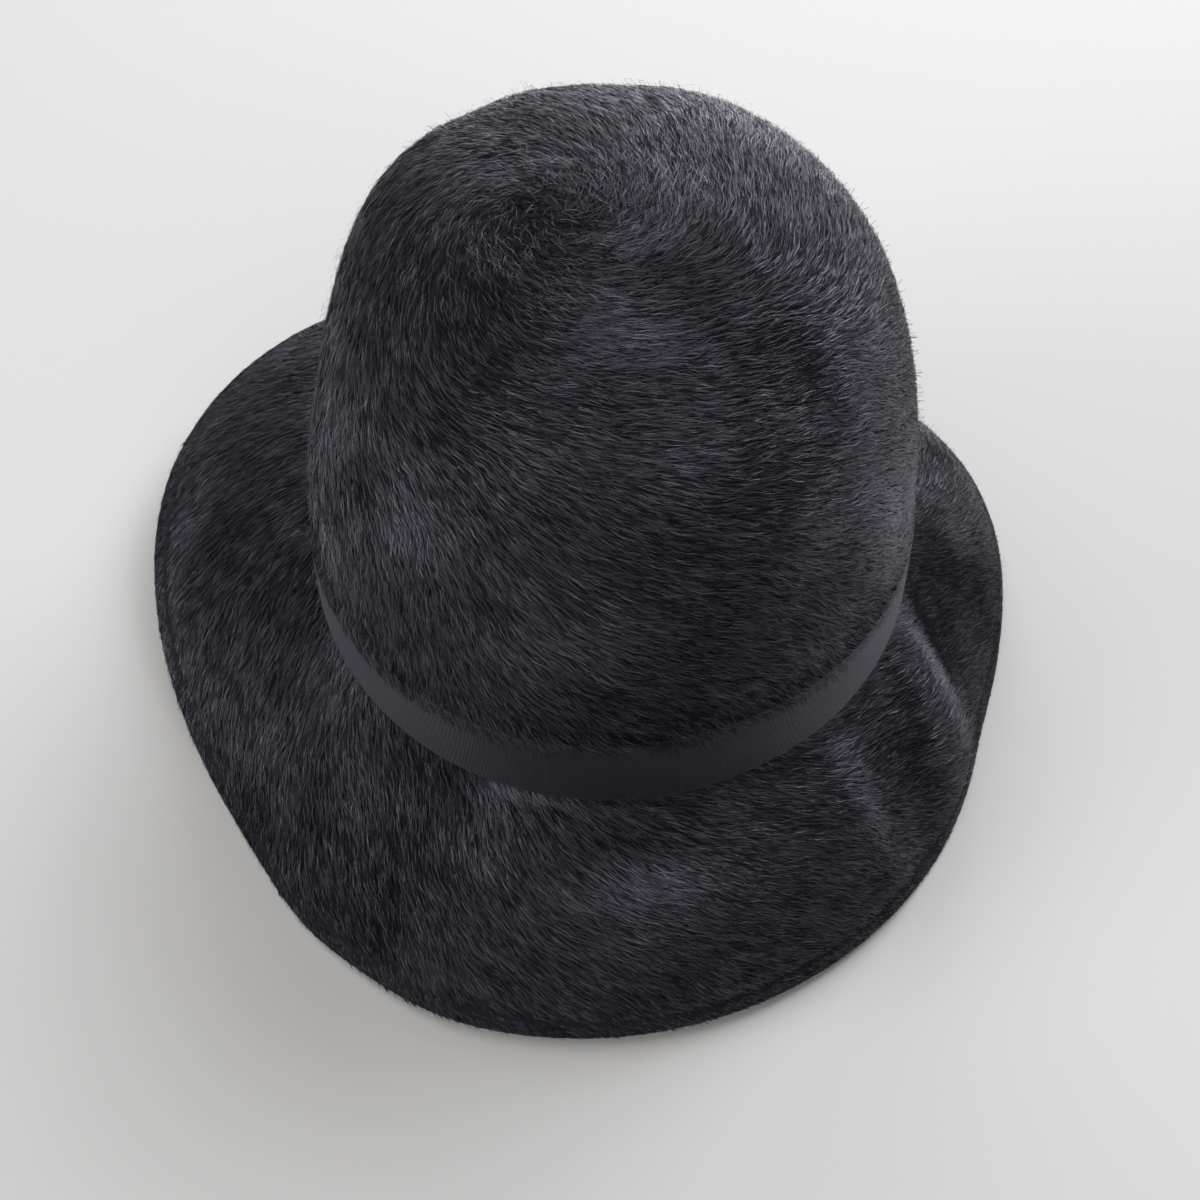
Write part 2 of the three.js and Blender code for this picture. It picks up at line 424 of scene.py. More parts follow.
def make_hood(finish):
    """The felt, with the groove of its hem seam pressed in, rounded off and smooth."""
    hood = copy_of("felt_body", "felt_hood")
    bpy.ops.object.mode_set(mode="OBJECT")
    rows = count_rows(hood)
    last = max(rows)
    for face in hood.data.polygons:
        face.select = all(0 < rows[i] < last for i in face.vertices)
    bpy.ops.object.mode_set(mode="EDIT")
    bpy.ops.mesh.tris_convert_to_quads(face_threshold=math.pi, shape_threshold=math.pi)
    bpy.ops.object.mode_set(mode="OBJECT")
    select_row(hood, rows, SEAM_ROW)
    bpy.ops.object.mode_set(mode="EDIT")
    bpy.ops.mesh.bevel(offset=SEAM_HALF, segments=2, affect="EDGES")
    bpy.ops.object.mode_set(mode="OBJECT")
    rows = count_rows(hood)
    select_row(hood, rows, HEM_ROW)
    bpy.ops.object.mode_set(mode="EDIT")
    bpy.ops.transform.shrink_fatten(value=-SEAM_DEPTH)
    bpy.ops.object.mode_set(mode="OBJECT")
    seam = ring_of_row(hood, rows, HEM_ROW)
    mark = hood.data.attributes.new("row", "FLOAT", "POINT")
    mark.data.foreach_set("value", np.array(rows, np.float32))
    smooth = hood.modifiers.new("round", "SUBSURF")
    smooth.levels = smooth.render_levels = 1
    apply(hood, "round")
    bpy.ops.object.shade_smooth()
    hood.data.materials.append(finish)
    return hood, seam


def make_stitches(seam, finish):
    """Plain running stitches that lie in the groove of the hem seam."""
    deselect()
    bpy.ops.mesh.primitive_cylinder_add(vertices=6, radius=STITCH_THICKNESS / 2,
                                        depth=STITCH_LENGTH, rotation=(0, math.pi / 2, 0))
    stitch = bpy.context.object
    bpy.ops.object.transform_apply(location=False, rotation=True, scale=False)
    bpy.ops.object.mode_set(mode="EDIT")
    bpy.ops.mesh.select_all(action="SELECT")
    bpy.ops.mesh.bevel(offset=STITCH_ROUNDING, segments=1, affect="EDGES")
    bpy.ops.object.mode_set(mode="OBJECT")
    shape = numbers(stitch.data.vertices, "co", 3)
    faces = [list(face.vertices) for face in stitch.data.polygons]
    bpy.data.objects.remove(stitch)
    places, normals = (np.vstack([row, row[:1]]) for row in seam)
    run = np.concatenate([[0], np.cumsum(np.linalg.norm(np.diff(places, axis=0), axis=1))])
    count = int(run[-1] / STITCH_PITCH)
    at = (np.arange(count) + 0.5) / count * run[-1]
    here, ahead = (
        np.stack([np.interp(at + step, run, places[:, i]) for i in range(3)], 1)
        for step in (0, 0.5 * MM)
    )
    up = unit_rows(np.stack([np.interp(at, run, normals[:, i]) for i in range(3)], 1))
    along = unit_rows(ahead - here)
    across = unit_rows(np.cross(up, along))
    up = np.cross(along, across)
    centre = here + up * STITCH_THICKNESS * 0.5
    ways = np.stack([along, across, up], 1)
    points = centre[:, None] + np.einsum("ij,kjl->kil", shape, ways)
    mesh = bpy.data.meshes.new("hem_stitches")
    mesh.from_pydata(points.reshape(-1, 3), [],
                     [[i + k * len(shape) for i in face] for k in range(count) for face in faces])
    piece = bpy.data.objects.new("hem_stitches", mesh)
    bpy.context.scene.collection.objects.link(piece)
    mesh.materials.append(finish)
    take(piece)
    bpy.ops.object.shade_smooth()
    return piece


# ---- The nap --------------------------------------------------------------------------------

# Each hair lies along one lane of its map, and the lane is its tone, with a few strands across it
# and a margin to each side
NAP_MAP = "OFBake"
TONES = 64
STRANDS = 3
LANE_MARGIN = 0.1

# A layer of the nap: how many hairs, and in mm the least and the most of their length, half width
# and standing off at the tip, then how far they gather into wisps, the middle and the variety of
# their tones, and how much shorter they are at the hem
Layer = namedtuple("Layer", "count length half_width lift gather tone variety shorter")

# From the felt outwards: the undercoat, the long hairs that show, and a few that stand off
LAYERS = (
    Layer(88000, (5.0, 9.0), (0.16, 0.30), (0.10, 0.45), 0.15, 0.40, 0.35, 0.55),
    Layer(186000, (5.0, 9.5), (0.05, 0.10), (0.20, 1.05), 0.28, 0.55, 0.90, 0.55),
    Layer(9000, (4.0, 7.5), (0.04, 0.06), (1.0, 3.2), 0.10, 0.50, 0.80, 0.2),
)

# More hairs that hang from just above the ribbon over its edge, lying steeper than the rest
FRINGE_LAYER = Layer(15000, (6.0, 11.0), (0.07, 0.13), (0.3, 1.0), 0.35, 0.34, 0.50, 0.0)
FRINGE_HEIGHT = 6 * MM
FRINGE_STEEPER = 0.5

# Short single hairs that stand up as fuzz
FUZZ_LAYER = Layer(62000, (2.4, 4.6), (0.03, 0.05), (0.7, 1.9), 0.05, 0.55, 0.90, 0.3)

# Patches where the nap's tone is paler or darker: partly where it lies sleek or ruffled, and partly
# painted light and shade, as on the brim's folds, hollows and roll and along the crown's edges. The
# middle of each, its reach along, across and in height in mm, the turn of its length from the
# right, and how much paler it is
LIE_AND_PAINTED_LIGHT_PATCHES = (
    # The crown's top, then its walls
    (-20, -13, 135, 16, 8, 20, 0, -0.32),
    (-14, -28, 132, 12, 9, 20, 0, -0.22),
    (-25, 14, 133, 14, 8, 20, 0, -0.12),
    (-3, 5, 137, 7, 5, 10, 0, -0.16),
    (17, 6, 135, 8, 6, 10, 0, 0.10),
    (12, -24, 134, 10, 6, 10, 0, 0.16),
    (28, -20, 135, 8, 8, 10, 0, -0.18),
    (-32, -41, 127, 22, 16, 25, -35, -0.17),
    (-30, -60, 117, 16, 8, 14, 0, -0.08),
    (-57, -22, 121, 7, 7, 12, 0, -0.12),
    (-15, -40, 130, 9, 7, 10, 0, -0.06),
    (47, -21, 129, 8, 7, 10, 0, -0.10),
    (40, -62, 115, 8, 7, 10, 0, -0.04),
    (7, -34, 131, 9, 7, 10, 0, 0.04),
    (31, -51, 125, 18, 14, 20, 0, -0.20),
    (34, -48, 126, 9, 7, 12, 0, 0.14),
    (18, -34, 132, 14, 6, 14, 0, -0.14),
    (52, -52, 113, 9, 7, 14, 50, -0.25),
    (68, -50, 90, 8, 6, 10, 50, 0.15),
    (40, 20, 131, 26, 14, 20, 45, 0.05),
    (-30, 30, 132, 14, 10, 14, 0, -0.12),
    # Painted highlights: the pale sheen along the crown's right edge
    (71, -12, 110, 12, 8, 14, 80, 0.10),
    (79, -34, 92, 14, 8, 18, 68, 0.26),
    (83, -50, 55, 14, 8, 26, 62, 0.34),
    (89, -36, 50, 13, 6, 32, 72, 0.38),
    (-84, -20, 72, 8, 6, 14, 80, -0.10),
    (-76, -56, 70, 8, 8, 12, -60, -0.15),
    (-79, -60, 44, 8, 8, 12, -60, 0.26),
    (9, -57, 127, 14, 10, 14, 0, 0.14),
    (-39, -73, 104, 16, 16, 16, 0, -0.10),
    (-56, -56, 106, 12, 9, 14, -60, -0.20),
    (-59, -47, 112, 6, 6, 8, 0, 0.14),
    (-3, -78, 113, 10, 8, 10, 0, 0.20),
    (-8, -74, 116, 12, 6, 10, 0, -0.12),
    (20, -77, 111, 8, 8, 10, 0, 0.10),
    (-52, -57, 108, 6, 6, 10, 0, 0.22),
    (-66, -64, 84, 8, 8, 10, 0, -0.42),
    (-52, -87, 66, 6, 6, 8, 0, -0.16),
    (-58, -76, 82, 6, 6, 8, 0, -0.20),
    (-37, -93, 73, 11, 9, 11, 0, -0.14),
    (42, -78, 92, 10, 8, 14, 0, -0.10),
    (36, -97, 66, 7, 7, 7, 0, 0.14),
    (-12, -106, 44, 14, 8, 8, 0, -0.12),
    (-3, -102, 69, 8, 8, 8, 0, 0.14),
    (38, -97, 40, 8, 8, 8, 0, 0.06),
    (12, -95, 86, 14, 14, 12, 0, -0.14),
    (31, -96, 64, 14, 14, 14, 0, -0.10),
    (12, -104, 35, 20, 14, 14, 0, -0.15),
    (66, -38, 107, 18, 9, 22, 60, 0.42),
    (60, -63, 94, 12, 9, 16, 50, 0.13),
    (55, -77, 78, 14, 10, 14, 40, 0.30),
    (74, -57, 68, 14, 9, 22, 50, 0.45),
    (-67, -58, 90, 32, 8, 22, -63, 0.24),
    (-50, -84, 78, 12, 10, 12, -40, 0.18),
    (-27, -95, 79, 12, 12, 10, 0, 0.12),
    (-19, -103, 56, 30, 12, 12, 0, 0.15),
    (17, -84, 104, 12, 12, 10, 0, 0.10),
    # The brim: painted light and shade that deepen its right folds and hollows, a painted highlight
    # on the roll under the ribbon, then painted light and shade on its left side
    (120, 7, -33, 24, 16, 60, 0, -0.34),
    (107, -16, -25, 20, 9, 60, -45, -0.30),
    (106, 30, -14, 8, 10, 20, 0, 0.16),
    (105, -29, -24, 14, 4, 60, -50, -0.72),
    (97, -36, -12, 11, 4, 60, -14, 0.60),
    (111, -43, -34, 13, 5, 60, -28, 0.60),
    (85, -58, -8, 10, 6, 30, -40, 0.25),
    (94, -68, -30, 20, 11, 60, -40, -0.22),
    (90, -56, -12, 8, 4, 60, -40, -0.25),
    (83, -79, -23, 9, 6, 60, -40, -0.12),
    (106, -57, -32, 9, 5, 60, -40, 0.16),
    (90, -102, -50, 9, 7, 60, 0, -0.20),
    (78, -90, -26, 20, 5, 60, -36, 0.42),
    (118, 62, -29, 18, 11, 60, 50, -0.24),
    (122, 20, -30, 12, 8, 60, 60, 0.25),
    (-115, 82, -12, 14, 9, 60, 45, -0.24),
    (-150, 16, -33, 30, 6, 60, 80, 0.22),
    (-102, -52, -21, 9, 7, 30, -57, -0.16),
    (-28, -105, -3, 16, 2, 4, -14, 0.70),
    (14, -119, -17, 34, 8, 20, 0, -0.15),
    (-57, -113, -26, 13, 8, 20, -20, -0.10),
    (-68, -124, -44, 9, 8, 20, 0, -0.20),
    (-28, -142, -38, 14, 8, 20, 0, -0.10),
    (13, -124, -21, 24, 6, 60, 8, 0.40),
    (46, -113, -21, 12, 6, 20, 0, 0.10),
    (-36, -119, -20, 10, 6, 20, 0, 0.12),
    (-46, -102, -9, 8, 5, 12, -30, -0.16),
    (-81, -94, -27, 8, 12, 20, 0, 0.13),
    (-109, -78, -46, 8, 8, 20, 0, -0.10),
    (-134, -36, -43, 9, 7, 20, 60, -0.10),
    (-57, -91, -7, 16, 6, 20, -36, -0.15),
    (-88, -92, -35, 12, 10, 20, 0, -0.18),
    (-84, -62, -9, 15, 6, 30, -57, 0.22),
    (-78, -110, -35, 30, 24, 60, 50, -0.15),
    (-117, -79, -62, 30, 12, 60, -57, -0.20),
    (-128, 15, -22, 36, 20, 60, 80, -0.14),
    (-97, -33, -8, 9, 6, 20, -60, -0.14),
    (-112, -20, -16, 9, 9, 20, 0, -0.08),
)

# Slow waves that keep the nap uneven, each with its seed, pitch in mm and strength: in the lie of
# the hairs in degrees, in how far they stand off (with its limits), and in their tones
LIE_WAVES = ((3, 60, 8), (4, 22, 6), (5, 9, 4))
FLUFF_WAVES = ((7, 26, 0.35), (8, 9, 0.15))
FLUFF_LIMITS = (0.3, 2)
TONE_WAVES = ((21, 34, 0.03), (22, 13, 0.03))

# Hairs lean towards the tips of this many wisps, of lengths in mm between these two
WISPS = 24000
WISP_LENGTH = (5, 8)

# How far hairs stray from the lie in degrees, and how much further near the whorl
STRAY = 7
WHORL_STRAY = 42
WHORL_REACH = 28 * MM

# How a hair lies: its root in the felt, its sway in mm, the turn about its own length in radians
# and its limit, the share of its lift at the middle and tip, how strongly chance favours a low
# lift, and the width at its two cuts
ROOT_DEPTH = 0.3 * MM
SWAY = 0.3
ROLL = 0.6
MOST_ROLL = 1.2
LIFT_SHARES = (0.95, 0.85)
LIE_LOW = 1.5
TAPER = (0.9, 1.0)

# On the hem hairs are this short and low, and they shorten over this many rows before it. In the
# groove, this many rows to each side of the seam, they grow only this densely.
HEM_LENGTH = 0.45
HEM_LIFT = 0.35
HEM_ROWS = 1.2
GROOVE_ROWS = 0.8
GROOVE_SHARE = 0.25

# A hair's own tone is mostly chance and partly its wisp's. The patch is read where the hair shows,
# this far along it, and in a dark patch the hairs vary less, between these limits
OWN_SHARE = 0.8
WISP_SHARE = 0.2
SHOWS = 0.6
VARIES = 1.6
VARIETY_LIMITS = (0.35, 1.25)

# The shares of the tones at which dull hairs give way to plain ones, and plain to sleek, how
# strongly each kind shines, face on and at its edges, and the most hairs in one piece
DULL_BELOW = 0.3
SLEEK_ABOVE = 0.7
SHINE = {"dull": (0.06, 0.0), "plain": (0.52, 0.035), "sleek": (1.0, 0.05)}
PIECE_HAIRS = 62000

# Hairs stay this far above the surface under the hat. Those that end lower than so far above the
# ribbon's top lie over the ribbon, and stand off so far at their middle and tip.
HAIR_FLOOR = 0.2 * MM
OVER_RIBBON = 1.2 * MM
RIBBON_STANDS = (1.4 * MM, 1.5 * MM)

# How far a hair's point may be from the felt and still be laid on it
LAY_REACH = 1.2 * MM

# Steps that spread points evenly over a square, whatever their number
EVEN_STEPS = (0.7548777, 0.5698403)

# The nap starts so far under the ribbon's top edge, and by this part of a row past its lower one
UNDER_RIBBON = 0.5 * MM
UNDER_RIBBON_ROWS = 0.25

# How the nap is brushed: the turn from running round the hat to running down and out, in degrees,
# every 40 degrees round from the right side, at each height on the crown in mm
CROWN_LIE = {
    15: (25, 40, 55, 65, 78, 88, 72, 36, 42),
    68: (50, 50, 60, 70, 80, 68, 56, 28, 38),
    108: (27, 40, 60, 80, 74, 27, 20, 20, 26),
    128: (5, 32, 48, 85, 50, 20, 13, 28, 30),
    137: (0, 10, 20, 50, 33, -18, 7, 33, 60),
}
BRIM_LIE = (45, 40, 40, 45, 48, 50, 48, 34, 28)


def round_table(table, angle):
    """Reads a table of values set evenly round the hat, at angles in radians."""
    steps = len(table)
    place = (angle / (2 * math.pi) * steps) % steps
    low = np.floor(place).astype(int) % steps
    part = place - np.floor(place)
    values = np.array(table, float)
    return values[low] * (1 - part) + values[(low + 1) % steps] * part


def waves(points, seed, length, count=5):
    """Smooth chance waves in space, from about -1 to 1, with crests about this length apart."""
    chance = np.random.default_rng(seed)
    total = np.zeros(len(points))
    for _ in range(count):
        way = unit_rows(chance.normal(size=(1, 3)))[0]
        pitch = length * chance.uniform(0.7, 1.5)
        total += np.sin(points @ way * (2 * math.pi / pitch) + chance.uniform(0, 2 * math.pi))
    return total / math.sqrt(count)


def unevenness(points, table):
    """The sum of slow waves, each with its seed, pitch in mm and strength."""
    return sum(strength * waves(points, seed, pitch * MM) for seed, pitch, strength in table)


def lie_of_nap(points, normals, brim, steeper=0):
    """The way that each hair lies on the felt, as a level turn and a part down and out."""
    home = home_of(points)
    away = home[:, :2] - np.array(WHORL) * (1 - brim)[:, None]
    angle = np.arctan2(away[:, 1] / HALF_LENGTH, away[:, 0] / HALF_WIDTH)
    heights = np.array(list(CROWN_LIE)) * MM
    levels = np.stack([round_table(row, angle) for row in CROWN_LIE.values()])
    height = np.clip(home[:, 2], heights[0], heights[-1])
    high = np.clip(np.searchsorted(heights, height), 1, len(heights) - 1)
    part = (height - heights[high - 1]) / (heights[high] - heights[high - 1])
    every = np.arange(len(points))
    crown = levels[high - 1, every] * (1 - part) + levels[high, every] * part
    turn = crown * (1 - brim) + round_table(BRIM_LIE, angle) * brim
    turn += (90 - turn) * steeper
    turn += unevenness(points, LIE_WAVES)
    turn = np.radians(turn)[:, None]
    level = np.stack([-away[:, 1] * HALF_WIDTH / HALF_LENGTH, away[:, 0] * HALF_LENGTH / HALF_WIDTH,
                      np.zeros(len(points))], 1) @ np.array(LEAN).T
    round_way = unit_rows(level - normals * (level * normals).sum(1, keepdims=True))
    down_way = np.cross(round_way, normals)
    return round_way * np.cos(turn) + down_way * np.sin(turn)


def mesh_rows(mesh):
    """The row of each of the felt's points."""
    return numbers(mesh.attributes["row"].data, "value", 1)[:, 0]


def growing_area(corners, places, rows, top):
    """The area of each face where nap grows: none off the outer side, and little in the groove."""
    a, b, c = (places[corners[:, i]] for i in range(3))
    area = np.linalg.norm(np.cross(b - a, c - a), axis=1) / 2
    row = rows[corners].mean(1)
    height = height_on_crown(places)[corners]
    above = height.max(1) > RIBBON_TOP
    if top is None:
        area *= np.where(row < FOOT_ROW, above, row < UNDER_ROW - 0.5)
    else:
        area *= (row < FOOT_ROW) & above & (height.min(1) < RIBBON_TOP + top)
    return area * np.where(np.abs(row - HEM_ROW) < GROOVE_ROWS, GROOVE_SHARE, 1)


def sow(hood, count, chance, top=None):
    """Even roots over the felt's outer side, or only so far above the ribbon.

    Gives their places, the way that the felt faces there, and their rows.
    """
    mesh = hood.data
    mesh.calc_loop_triangles()
    corners = numbers(mesh.loop_triangles, "vertices", 3, np.int32)
    places = numbers(mesh.vertices, "co", 3)
    normals = numbers(mesh.vertices, "normal", 3)
    rows = mesh_rows(mesh)
    area = growing_area(corners, places, rows, top)
    # Each face gets its fair number of roots, set evenly over it
    ends = np.cumsum(area) / area.sum() * count
    chosen = np.searchsorted(ends, np.arange(count) + 0.5)
    first = np.searchsorted(chosen, np.arange(len(area)))
    start = chance.uniform(size=(len(area), 2))[chosen]
    place = (start + (np.arange(count) - first[chosen])[:, None] * np.array(EVEN_STEPS)) % 1
    over = place.sum(1) > 1
    place[over] = 1 - place[over]
    share = np.stack([1 - place.sum(1), place[:, 0], place[:, 1]], 1)
    root = (places[corners[chosen]] * share[:, :, None]).sum(1)
    normal = unit_rows((normals[corners[chosen]] * share[:, :, None]).sum(1))
    row = (rows[corners[chosen]] * share).sum(1)
    # None under the ribbon
    bare = np.where(row < FOOT_ROW, height_on_crown(root) < RIBBON_TOP - UNDER_RIBBON,
                    row < FOOT_ROW + UNDER_RIBBON_ROWS)
    return root[~bare], normal[~bare], row[~bare]


def felt_tree(hood):
    """A search tree of the felt's outer faces."""
    mesh = hood.data
    rows = mesh_rows(mesh)
    outer = [face for face in mesh.polygons if rows[list(face.vertices)].mean() < UNDER_ROW]
    faces = [tuple(face.vertices) for face in outer]
    return BVHTree.FromPolygons([vertex.co for vertex in mesh.vertices], faces)


def stray_from(way, root, normal, row, chance):
    """Lets each hair stray a little from the lie, and much more round the whorl."""
    home = home_of(root)
    away = np.linalg.norm(home[:, :2] - np.array(WHORL), axis=1)
    loose = STRAY + WHORL_STRAY * np.exp(-(away / WHORL_REACH) ** 2) * (row < FOOT_ROW)
    turn = np.radians(chance.normal(0, 1, len(root)) * loose)[:, None]
    return way * np.cos(turn) + np.cross(normal, way) * np.sin(turn)


def height_on_crown(points):
    return home_of(points)[:, 2]


def brim_share(row):
    """How far the brim's table rules the lie: not on the crown, and fully past the bend."""
    return np.clip((row - FOOT_ROW) / 2, 0, 1)


def spread(chance, limits, count):
    """Chance sizes between two limits in mm."""
    return chance.uniform(limits[0], limits[1], count) * MM


def lay_on_felt(places, normals, tree):
    """Moves points onto the felt, and gives the way that it faces at each."""
    ups = normals.copy()
    for i in range(len(places)):
        found, face_up, _, far = tree.find_nearest(places[i])
        if far < LAY_REACH:
            places[i], ups[i] = found, face_up
    return ups


def hair_lengths(layer, row, chance):
    """How long each hair is, shorter towards the hem and on it."""
    near_hem = np.clip((SEAM_ROW - row) / HEM_ROWS, 0, 1)
    length = spread(chance, layer.length, len(row))
    return length * np.where(row > HEM_ROW, HEM_LENGTH, 1 - layer.shorter * (1 - near_hem))


def hair_lifts(layer, root, row, chance):
    """How far each hair stands off. Most lie low, and slow waves fluff some stretches up."""
    fluff = (1 + unevenness(root, FLUFF_WAVES)).clip(*FLUFF_LIMITS)
    low, high = layer.lift
    lift = low * MM + (high - low) * MM * chance.uniform(0, 1, len(root)) ** LIE_LOW * fluff
    return np.where(row > HEM_ROW, HEM_LIFT * lift, lift)


def lift_over_ribbon(rise, places, row):
    """Hairs that reach past the ribbon's top edge lie over the ribbon."""
    for i, place in enumerate(places):
        over = (row < FOOT_ROW) & (height_on_crown(place) < RIBBON_TOP + OVER_RIBBON)
        rise[over, i] = np.maximum(rise[over, i], RIBBON_STANDS[i])


def hair_widths(layer, length_way, normal, chance):
    """Half widths across each hair at its two cuts, rolled a little about its length."""
    side = unit_rows(np.cross(unit_rows(length_way), normal))
    roll = chance.normal(0, ROLL, len(normal)).clip(-MOST_ROLL, MOST_ROLL)[:, None]
    half = spread(chance, layer.half_width, len(normal))
    flat = (side * np.cos(roll) + normal * np.sin(roll)) * half[:, None]
    return flat[:, None] * np.array(TAPER)[None, :, None]


def hair_tones(layer, wisp_tone, shows_at, chance):
    """The number of each hair's tone, from chance, its wisp and the patch where it shows."""
    own = OWN_SHARE * chance.uniform(-0.5, 0.5, len(shows_at)) + WISP_SHARE * (wisp_tone - 0.5)
    shade = nap_tone_and_painted_light(shows_at)
    varied = layer.variety * own * (1 + VARIES * shade).clip(*VARIETY_LIMITS)
    tone = layer.tone + varied + shade
    return (tone * TONES).astype(int).clip(0, TONES - 1)


def hair_lines(hood, tree, wisps, layer, chance, top=None, steeper=0):
    """Lays one layer of hairs: the middle lines and half widths of their cuts, and their tones."""
    root, normal, row = sow(hood, layer.count, chance, top)
    count = len(root)
    way = lie_of_nap(root, normal, brim_share(row), steeper)
    way = stray_from(way, root, normal, row, chance)
    length = hair_lengths(layer, row, chance)
    lift = hair_lifts(layer, root, row, chance)
    # Hairs gather into wisps: each leans towards the tip of the nearest wisp
    wisp_tips, wisp_tones, near = wisps
    wisp = np.array([near.find(place)[1] for place in root])
    reach = root + way * length[:, None]
    gather = chance.uniform(0.0, 1.0, count)[:, None] * layer.gather
    tip = reach * (1 - gather) + wisp_tips[wisp] * gather
    sway = chance.normal(0, SWAY, count)[:, None] * MM
    middle = (root + tip) / 2 + np.cross(way, normal) * sway + (reach - tip) / 4
    middle_up = lay_on_felt(middle, normal, tree)
    tip_up = lay_on_felt(tip, normal, tree)
    rise = lift[:, None] * np.array(LIFT_SHARES)
    lift_over_ribbon(rise, (middle, tip), row)
    middle = middle + middle_up * rise[:, :1]
    tip_end = tip + tip_up * rise[:, 1:]
    lines = np.stack([root - normal * ROOT_DEPTH, middle, tip_end], 1)
    lines[:, :, 2] = np.maximum(lines[:, :, 2], HAIR_FLOOR)
    widths = hair_widths(layer, lines[:, 2] - lines[:, 0], normal, chance)
    tone = hair_tones(layer, wisp_tones[wisp], root * (1 - SHOWS) + tip * SHOWS, chance)
    return lines, widths, tone


def gather_wisps(hood, chance):
    """The tips that hairs gather to, their tones, and a search tree of their roots."""
    root, normal, row = sow(hood, WISPS, chance)
    way = lie_of_nap(root, normal, brim_share(row))
    near = KDTree(len(root))
    for i, place in enumerate(root):
        near.insert(place, i)
    near.balance()
    tips = root + way * spread(chance, WISP_LENGTH, len(root))[:, None]
    return tips, chance.uniform(0, 1, len(root)), near


def nap_tone_and_painted_light(points):
    """Slow changes of the nap's tone: chance waves, and patches that are partly brushed nap and
    partly painted light and shade.
    """
    home = home_of(points)
    tone = unevenness(points, TONE_WAVES)
    for x, y, z, along, across, high, turn, paler in LIE_AND_PAINTED_LIGHT_PATCHES:
        away = home - np.array((x, y, z)) * MM
        turned = math.radians(turn)
        u = (away[:, 0] * math.cos(turned) + away[:, 1] * math.sin(turned)) / (along * MM)
        v = (away[:, 1] * math.cos(turned) - away[:, 0] * math.sin(turned)) / (across * MM)
        w = away[:, 2] / (high * MM)
        tone += paler * np.exp(-(u * u + v * v + w * w))
    return tone


def hair_piece(name, lines, widths, tone, finish):
    """One mesh of flat tapered hairs with one or two cuts, each on the lane of its tone."""
    count, cuts = widths.shape[:2]
    points = 2 * cuts + 1
    places = np.empty((count, points, 3))
    places[:, 0:-1:2] = lines[:, :cuts] - widths
    places[:, 1:-1:2] = lines[:, :cuts] + widths
    places[:, -1] = lines[:, -1]
    ring = np.array([0, 1, 3, 2, 2, 3, 4] if cuts == 2 else [0, 1, 2])
    loops = (np.arange(count)[:, None] * points + ring).ravel()
    starts = (np.arange(count)[:, None] * len(ring) + np.array([0, 4])[:cuts]).ravel()
    mesh = bpy.data.meshes.new(name)
    mesh.vertices.add(count * points)
    mesh.vertices.foreach_set("co", places.astype(np.float32).ravel())
    mesh.loops.add(len(loops))
    mesh.loops.foreach_set("vertex_index", loops.astype(np.int32))
    mesh.polygons.add(count * cuts)
    mesh.polygons.foreach_set("loop_start", starts.astype(np.int32))
    mesh.update(calc_edges=True)
    lane = mesh.uv_layers.new(name=NAP_MAP)
    along = (np.arange(points) // 2 / cuts)[ring]
    side = np.append(np.arange(2 * cuts) % 2, 0.5)[ring]
    map_x = np.broadcast_to(along, (count, len(ring)))
    map_y = (tone[:, None] + LANE_MARGIN + (1 - 2 * LANE_MARGIN) * side) / TONES
    lane.uv.foreach_set("vector", np.stack([map_x, map_y], -1).astype(np.float32).ravel())
    piece = bpy.data.objects.new(name, mesh)
    bpy.context.scene.collection.objects.link(piece)
    mesh.materials.append(finish)
    take(piece)
    bpy.ops.object.shade_smooth()
    return piece


def deal_hairs(name, hairs, finishes):
    """Sorts hairs by tone into dull, plain and sleek ones, and each kind into a few meshes."""
    lines, widths, tone = hairs
    # The tone holds the patches' painted light and shade, so hairs in painted highlights get the
    # sleek shine and those in painted shade the dull one
    kind = np.where(tone < DULL_BELOW * TONES, 0, np.where(tone < SLEEK_ABOVE * TONES, 1, 2))
    pieces = []
    for k, (shine, finish) in enumerate(zip(SHINE, finishes)):
        those = np.flatnonzero(kind == k)
        share = math.ceil(len(those) / PIECE_HAIRS)
        for i in range(share):
            some = those[i::share]
            called = f"{name}_{shine}_{i + 1}"
            pieces.append(hair_piece(called, lines[some], widths[some], tone[some], finish))
    return pieces


def make_nap(hood):
    """All the layers of the nap, and the short fuzz that stands up from it."""
    chance = np.random.default_rng(11)
    tree = felt_tree(hood)
    wisps = gather_wisps(hood, chance)
    hair = hair_effect()
    finishes = [nap_finish(f"fur_felt_{name}", hair, *shine) for name, shine in SHINE.items()]
    laid = [hair_lines(hood, tree, wisps, layer, chance) for layer in LAYERS]
    laid.append(hair_lines(hood, tree, wisps, FRINGE_LAYER, chance, FRINGE_HEIGHT, FRINGE_STEEPER))
    pieces = deal_hairs("nap", [np.concatenate(parts) for parts in zip(*laid)], finishes)
    lines, widths, tone = hair_lines(hood, tree, wisps, FUZZ_LAYER, chance)
    return pieces + deal_hairs("fuzz", (lines, widths[:, :1], tone), finishes)


# ---- The ribbon -----------------------------------------------------------------------------

def map_ribbon(piece):
    """Gives a strip round the crown a map in metres: along the ribbon and up it."""
    mesh = piece.data
    home = home_of(numbers(mesh.vertices, "co", 3))
    angle = np.arctan2(home[:, 1] / HALF_LENGTH, home[:, 0] / HALF_WIDTH)
    corners = numbers(mesh.loops, "vertex_index", 1, np.int32)[:, 0]
    starts = numbers(mesh.polygons, "loop_start", 1, np.int32)[:, 0]
    counts = np.diff(np.append(starts, len(corners)))
    first = np.repeat(angle[corners[starts]], counts)
    turn = first + (angle[corners] - first + math.pi) % (2 * math.pi) - math.pi
    place = np.stack([(turn / (2 * math.pi) + 0.5) * RIBBON_LENGTH, home[corners, 2]], 1)
    layer = mesh.uv_layers.new(name=RIBBON_MAP)
    layer.uv.foreach_set("vector", place.astype(np.float32).ravel())


